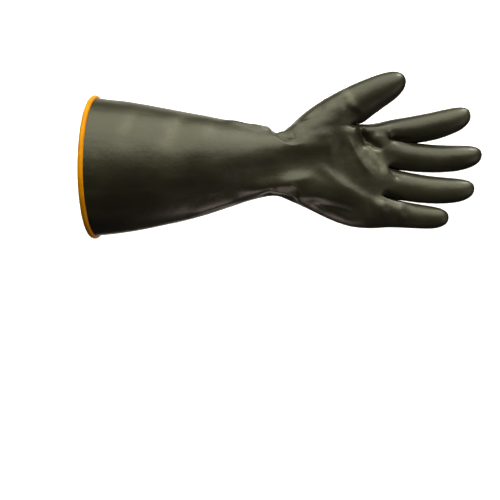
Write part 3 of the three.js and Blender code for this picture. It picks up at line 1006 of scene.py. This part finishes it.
    def smooth(self) -> list[Skin]:
        """Returns the net and, one after the other, the smoother surfaces made from it."""
        net = Net()
        rings = self.trunk(net)
        for root, finger in zip(self.finger_roots(net, rings[-1]), FINGERS):
            self.add_finger(net, root, finger)
        self.add_thumb(net, rings)
        used, faces = np.unique(np.array(net.faces), return_inverse=True)
        points = np.array([tuple(net.points[k]) for k in used])
        skins = [Skin(points, faces.reshape(-1, 4))]
        for _ in range(self.smoothing):
            skins.append(skins[-1].refined())
        return skins

    def close_up(self, skin: Skin) -> np.ndarray:
        """Returns for each face whether it lies where the palm's side has its fine folds."""
        x = skin.points[skin.faces, 0].mean(axis=1)
        facing = -skin.normals()[skin.faces, 1].mean(axis=1)
        low, high = self.fine_from, self.fine_to
        return (x > low * self.sizes.gauntlet_length) & (x < high * self.sizes.gauntlet_length) & (
            facing > self.fine_facing
        )

    def in_shares(self, points: np.ndarray) -> np.ndarray:
        """Returns the points' places along and up the hand, in palm widths."""
        s = self.sizes
        flat = points[:, [0, 2]] - (s.gauntlet_length, 0.0)
        return flat / s.palm_width

    def line(self, start: Pair, bend: Pair, end: Pair) -> np.ndarray:
        """Returns a fold's curve in palm widths."""
        stretch = self.sizes.palm_length / self.sizes.palm_width
        places = bezier(start, bend, end, self.fold_steps + 1)
        return places * (stretch, 1.0)

    def heights(self, points: np.ndarray, normals: np.ndarray) -> np.ndarray:
        """Measures the folds and the looseness of the rubber.

        Args:
            points: places on the smooth surface.
            normals: the surface's normals there.

        Returns:
            How far each place moves outwards along its normal.
        """
        shares = self.in_shares(points)
        shift = np.zeros(len(points))
        for fold in FOLDS:
            line = self.line(fold.start, fold.bend, fold.end)
            reach = 3 * fold.width * max(1.0, fold.skew)
            inside = (shares > line.min(axis=0) - reach) & (shares < line.max(axis=0) + reach)
            rows = np.where(inside.all(axis=1))[0]
            signed, share = along_curve(shares[rows], line)
            width = np.where(signed < 0, fold.width * fold.skew, fold.width)
            near = np.exp(-((np.abs(signed) / width) ** fold.crest.value))
            if fold.taper:
                near *= smooth_step(share / fold.taper) * smooth_step((1 - share) / fold.taper)
            if fold.side is not Side.BOTH:
                near *= np.clip(2 * fold.side.value * normals[rows, 1], 0.0, 1.0)
            shift[rows] += near * fold.lift * self.sizes.palm_width
        for k, place in enumerate(points):
            wide = noise.noise(Vector(place) * self.wide_slack)
            close = noise.noise(Vector(place) * self.close_slack + Vector((7.0, 3.0, 5.0)))
            shift[k] += self.looseness * (wide + self.close_share * close)
        return shift

    def bloom_and_sheen_share(self, points: np.ndarray, normals: np.ndarray) -> np.ndarray:
        """Returns for each point how dull the rubber is there, from 0 to 1, which also sets how much painted
        sheen lightens it.
        """
        shares = self.in_shares(points)
        palm_facing = np.clip(-2 * normals[:, 1] + 0.4, 0.0, 1.0)
        total = np.zeros(len(points))
        for patch in BLOOM_AND_SHEEN_PATCHES:
            middle = tuple((a + b) / 2 for a, b in zip(patch.start, patch.end))
            signed, _ = along_curve(shares, self.line(patch.start, middle, patch.end))
            near = np.exp(-((signed / patch.width) ** 2))
            total = np.maximum(total, near * patch.strength * palm_facing)
        return total

    def outer(
        self, middle: Skin, fine: Skin, chosen: np.ndarray
    ) -> tuple[Sheet, np.ndarray, dict[int, int]]:
        """Folds the outer surface.

        Args:
            middle: the surface one step coarser than the finest.
            fine: the finest surface.
            chosen: for each face of middle whether the finest faces take its place.

        Returns:
            The folded surface, the place on the wall's inner side for each of its points, and
            its number for each of the finest surface's points that it uses.
        """
        rings = middle.split(fine, chosen)
        used, numbers = np.unique(np.concatenate(rings), return_inverse=True)
        cuts = np.cumsum([len(ring) for ring in rings])[:-1]
        out = fine.normals()[used]
        heights = self.heights(fine.points[used], out)
        points = fine.points[used] + out * heights[:, None]
        sheet = Sheet(points, [part.tolist() for part in np.split(numbers, cuts)])
        sunk = sheet.lowest_nearby(heights, self.lining_rounds) - heights
        inner = points - sheet.normals() * self.sizes.wall + out * sunk[:, None]
        return sheet, inner, dict(zip(used.tolist(), range(len(used))))

    def lining(
        self, coarse: Skin, middle: Skin, chosen: np.ndarray, place_of: dict[int, int]
    ) -> tuple[list[int], list[Ring]]:
        """Chooses the points and the faces of the wall's inner side.

        Args:
            coarse: the surface two steps coarser than the finest.
            middle: the surface one step coarser than the finest.
            chosen: for each face of middle whether it lies among the fine folds.
            place_of: the outer surface's number for each point.

        Returns:
            The outer surface's number for each inner point, and the inner faces, which name
            their points by the same numbers.
        """
        near_rim = coarse.on_rim()[coarse.faces].any(axis=1)
        rings = coarse.split(middle, chosen.reshape(-1, 4).any(axis=1) | near_rim)
        used = sorted({int(k) for ring in rings for k in ring})
        faces = [[place_of[int(k)] for k in reversed(ring)] for ring in rings]
        return [place_of[k] for k in used], faces

    def build(
        self, outside: bpy.types.Material, inside: bpy.types.Material
    ) -> tuple[bpy.types.Object, Rim]:
        """Builds the shell with its wall.

        Args:
            outside: material of the outer surface.
            inside: material of the inner surface.

        Returns:
            The shell, and the rim of its mouth.
        """
        coarse, middle, fine = self.smooth()[-3:]
        chosen = self.close_up(middle)
        sheet, inner, place_of = self.outer(middle, fine, chosen)
        rows, inner_rings = self.lining(coarse, middle, chosen, place_of)
        inner_of = {number: len(sheet.points) + row for row, number in enumerate(rows)}
        inner_faces = [[inner_of[number] for number in ring] for ring in inner_rings]
        rim = [place_of[k] for k in middle.rim()]
        lip = [(b, a, inner_of[a], inner_of[b]) for a, b in zip(rim, rim[1:] + rim[:1])]
        faces = [*sheet.rings, *lip, *inner_faces]
        mesh = bpy.data.meshes.new("glove_shell_skin")
        mesh.from_pydata(np.vstack([sheet.points, inner[rows]]).tolist(), [], faces)
        mesh.materials.append(outside)
        mesh.materials.append(inside)
        kinds = np.zeros(len(faces), dtype=np.int32)
        kinds[len(sheet.rings) :] = 1
        mesh.polygons.foreach_set("material_index", kinds)
        normals = sheet.normals()
        # Per-point strength of the bloom patches, which also sets their painted sheen.
        bloom_and_sheen = mesh.attributes.new("bloom_and_sheen", "FLOAT", "POINT")
        dull = np.concatenate([self.bloom_and_sheen_share(sheet.points, normals), np.zeros(len(rows))])
        bloom_and_sheen.data.foreach_set("value", dull)
        mesh.shade_smooth()
        shell = new_object("rubber_shell", mesh)
        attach(shell, "root")
        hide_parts("glove_shell")
        return shell, Rim(sheet.points[rim], normals[rim])


@dataclass
class CuffBead:
    """The rolled bead round the cuff's mouth."""

    sizes: GloveSizes = field(default_factory=GloveSizes)
    steps: int = 220
    sides: int = 16
    unevenness: float = 0.06

    def path(self, rim: Rim) -> list[Vector]:
        """Returns the bead's middle line, just outside the shell's rim."""
        out = self.sizes.bead_standoff - self.sizes.wall / 2
        back = Vector((-self.sizes.bead_reach * self.sizes.bead_diameter / 2, 0, 0))
        return [Vector(place + normal * out) + back for place, normal in zip(rim.points, rim.normals)]

    def sweep(self) -> bpy.types.NodeTree:
        """Builds the node tree that sweeps a round section along a closed path."""
        tree = bpy.data.node_groups.new("bead_sweep", "GeometryNodeTree")
        face = tree.interface
        face.new_socket("Path", in_out="INPUT", socket_type="NodeSocketGeometry")
        face.new_socket("Bead radius", in_out="INPUT", socket_type="NodeSocketFloat")
        face.new_socket("Steps", in_out="INPUT", socket_type="NodeSocketInt")
        face.new_socket("Sides", in_out="INPUT", socket_type="NodeSocketInt")
        face.new_socket("Unevenness", in_out="INPUT", socket_type="NodeSocketFloat")
        face.new_socket("Finish", in_out="INPUT", socket_type="NodeSocketMaterial")
        face.new_socket("Bead", in_out="OUTPUT", socket_type="NodeSocketGeometry")

        def add(kind: str, inputs: dict, **settings: object) -> bpy.types.Node:
            """Adds a node with its settings, and links or sets its inputs."""
            made = tree.nodes.new(kind)
            for key, value in settings.items():
                setattr(made, key, value)
            for key, value in inputs.items():
                if isinstance(value, bpy.types.NodeSocket):
                    tree.links.new(value, made.inputs[key])
                else:
                    made.inputs[key].default_value = value
            return made

        given = tree.nodes.new("NodeGroupInput").outputs
        curve = add("GeometryNodeMeshToCurve", {"Mesh": given["Path"]})
        even = add("GeometryNodeResampleCurve", {"Curve": curve.outputs[0], "Count": given["Steps"]})
        rolled = add("ShaderNodeTexNoise", {"Scale": 30.0, "Detail": 2.0})
        centred = add("ShaderNodeMath", {0: rolled.outputs["Fac"], 1: 0.5}, operation="SUBTRACT")
        varied = add("ShaderNodeMath", {0: centred.outputs[0], 1: given["Unevenness"]}, operation="MULTIPLY")
        scaled = add("ShaderNodeMath", {0: varied.outputs[0], 1: 2.0, 2: 1.0}, operation="MULTIPLY_ADD")
        thick = add("GeometryNodeSetCurveRadius", {"Curve": even.outputs[0], "Radius": scaled.outputs[0]})
        section = add(
            "GeometryNodeCurvePrimitiveCircle",
            {"Radius": given["Bead radius"], "Resolution": given["Sides"]},
        )
        swept = add(
            "GeometryNodeCurveToMesh",
            {"Curve": thick.outputs[0], "Profile Curve": section.outputs["Curve"]},
        )
        if "Scale" in swept.inputs:
            tree.links.new(scaled.outputs[0], swept.inputs["Scale"])
        smooth = add("GeometryNodeSetShadeSmooth", {0: swept.outputs[0]})
        real = add("GeometryNodeRealizeInstances", {0: smooth.outputs[0]})
        dressed = add("GeometryNodeSetMaterial", {"Geometry": real.outputs[0], "Material": given["Finish"]})
        tree.links.new(dressed.outputs[0], tree.nodes.new("NodeGroupOutput").inputs["Bead"])
        return tree

    def build(self, rim: Rim, finish: bpy.types.Material) -> bpy.types.Object:
        """Builds the bead round the shell's mouth.

        Args:
            rim: the rim of the shell's mouth.
            finish: material of the bead.

        Returns:
            The bead.
        """
        path = self.path(rim)
        edges = [(k, (k + 1) % len(path)) for k in range(len(path))]
        mesh = bpy.data.meshes.new("bead_path")
        mesh.from_pydata([tuple(p) for p in path], edges, [])
        source = new_object("bead_path", mesh)
        sweep = source.modifiers.new("sweep", "NODES")
        sweep.node_group = self.sweep()
        sockets = {s.name: s.identifier for s in sweep.node_group.interface.items_tree}
        sweep[sockets["Bead radius"]] = self.sizes.bead_diameter / 2
        sweep[sockets["Steps"]] = self.steps
        sweep[sockets["Sides"]] = self.sides
        sweep[sockets["Unevenness"]] = self.unevenness
        sweep[sockets["Finish"]] = finish
        bead = baked(source, "rolled_bead")
        outward(bead.data)
        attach(bead, "root")
        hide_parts("cuff_bead")
        return bead


def outward(mesh: bpy.types.Mesh) -> None:
    """Turns the faces of a closed mesh outwards, after merging its doubles."""
    shape = bmesh.new()
    shape.from_mesh(mesh)
    bmesh.ops.remove_doubles(shape, verts=shape.verts, dist=1e-6)
    bmesh.ops.recalc_face_normals(shape, faces=shape.faces)
    shape.to_mesh(mesh)
    shape.free()
    mesh.shade_smooth()


@dataclass(frozen=True)
class SoftBox:
    """A rectangular lamp: where it is, what it looks at, and its size in metres."""

    name: str
    place: tuple[float, float, float]
    target: tuple[float, float, float]
    size: Pair
    power: float
    tint: Colour = (1.0, 1.0, 1.0)

    def build(self) -> None:
        """Adds the lamp."""
        data = bpy.data.lights.new(self.name, "AREA")
        data.shape = "RECTANGLE"
        data.size, data.size_y = self.size
        data.energy = self.power
        data.color = self.tint
        lamp = bpy.data.objects.new(self.name, data)
        lamp.location = self.place
        aim = Vector(self.target) - Vector(self.place)
        lamp.rotation_euler = aim.to_track_quat("-Z", "Y").to_euler()
        lamp.visible_camera = False
        bpy.context.scene.collection.objects.link(lamp)


@dataclass
class Studio:
    """White paper that curves up behind the glove, soft lamps and the world's dim fill."""

    floor: float = -0.6
    front: float = -2.2
    back: float = 1.9
    half_width: float = 2.6
    top: float = 2.4
    curve: float = 0.6
    curve_steps: int = 16
    world: float = 0.022
    lamps: tuple[SoftBox, ...] = (
        SoftBox("key_lamp", (0.16, -0.78, 1.25), (0.16, 0.0, 0.05), (2.6, 1.9), 51.0, (1.0, 0.98, 0.73)),
        SoftBox("tip_lamp", (0.88, -0.2, 1.2), (0.4, 0.0, 0.0), (0.22, 0.22), 8.5, (1.0, 0.98, 0.86)),
        SoftBox("side_lamp", (1.0, -0.5, -0.3), (0.36, 0.0, 0.0), (0.6, 0.6), 1.0, (1.0, 0.9, 0.76)),
        SoftBox("low_lamp", (0.185, 0.0, -0.24), (0.17, -0.02, -0.04), (0.12, 0.1), 0.1, (1.0, 0.8, 0.68)),
        SoftBox("rim_lamp", (0.16, 1.25, 0.3), (0.16, 0.0, 0.0), (1.8, 1.9), 15.0, (1.0, 0.95, 0.8)),
        SoftBox("paper_lamp", (0.16, 1.0, 1.5), (0.16, 1.9, 0.9), (3.0, 0.6), 110.0),
    )

    def paper(self, finish: bpy.types.Material) -> bpy.types.Object:
        """Adds the paper as one curved sheet.

        Args:
            finish: material of the paper.

        Returns:
            The sheet, hidden from diffuse and glossy rays.
        """
        profile = [(self.front, self.floor), (self.back - self.curve, self.floor)]
        for k in range(1, self.curve_steps + 1):
            angle = math.pi / 2 * k / self.curve_steps
            y = self.back - self.curve + self.curve * math.sin(angle)
            profile.append((y, self.floor + self.curve * (1 - math.cos(angle))))
        profile.append((self.back, self.top))
        middle = 0.2
        points = [(middle + side * self.half_width, y, z) for y, z in profile for side in (-1, 1)]
        faces = [(2 * k, 2 * k + 1, 2 * k + 3, 2 * k + 2) for k in range(len(profile) - 1)]
        mesh = bpy.data.meshes.new("studio_paper")
        mesh.from_pydata(points, [], faces)
        mesh.materials.append(finish)
        mesh.shade_smooth()
        sheet = new_object("studio_paper", mesh)
        sheet.visible_diffuse = sheet.visible_glossy = False
        return sheet

    def build(self, finish: bpy.types.Material) -> None:
        """Adds the paper, the lamps and the world."""
        self.paper(finish)
        for lamp in self.lamps:
            lamp.build()
        world = bpy.data.worlds.new("studio")
        world.use_nodes = True
        world.node_tree.nodes["Background"].inputs["Strength"].default_value = self.world
        world.node_tree.nodes["Background"].inputs["Color"].default_value = (1.0, 1.0, 1.0, 1.0)
        bpy.context.scene.world = world
        bpy.context.scene.view_settings.view_transform = "Standard"


@dataclass(frozen=True)
class PhotoCamera:
    """The camera at the photograph's place, level and looking along +Y."""

    place: tuple[float, float, float] = (0.1617, -0.9479, -0.0868)
    lens: float = 65.0
    sensor: float = 36.0
    nearest: float = 0.01

    def build(self) -> None:
        """Adds the camera and makes it the scene's."""
        data = bpy.data.cameras.new("photo_camera")
        data.lens = self.lens
        data.sensor_width = self.sensor
        data.clip_start = self.nearest
        camera = bpy.data.objects.new("photo_camera", data)
        camera.location = self.place
        camera.rotation_euler = (math.pi / 2, 0.0, 0.0)
        bpy.context.scene.collection.objects.link(camera)
        bpy.context.scene.camera = camera


def triangle_count(piece: bpy.types.Object) -> int:
    """Returns how many triangles a piece has."""
    return sum(len(face.vertices) - 2 for face in piece.data.polygons)


def main() -> None:
    """Builds the glove piece by piece, then its studio and its camera."""
    logging.basicConfig(level=logging.INFO, format="%(name)s: %(message)s")
    PhotoCamera().build()
    shell, rim = GloveShell().build(RubberFinish().material(), LiningFinish().material())
    log.info("%s has %d triangles", shell.name, triangle_count(shell))
    bead = CuffBead().build(rim, BeadFinish().material())
    log.info("%s has %d triangles", bead.name, triangle_count(bead))
    Studio().build(PaperFinish().material())


if __name__ == "__main__":
    main()
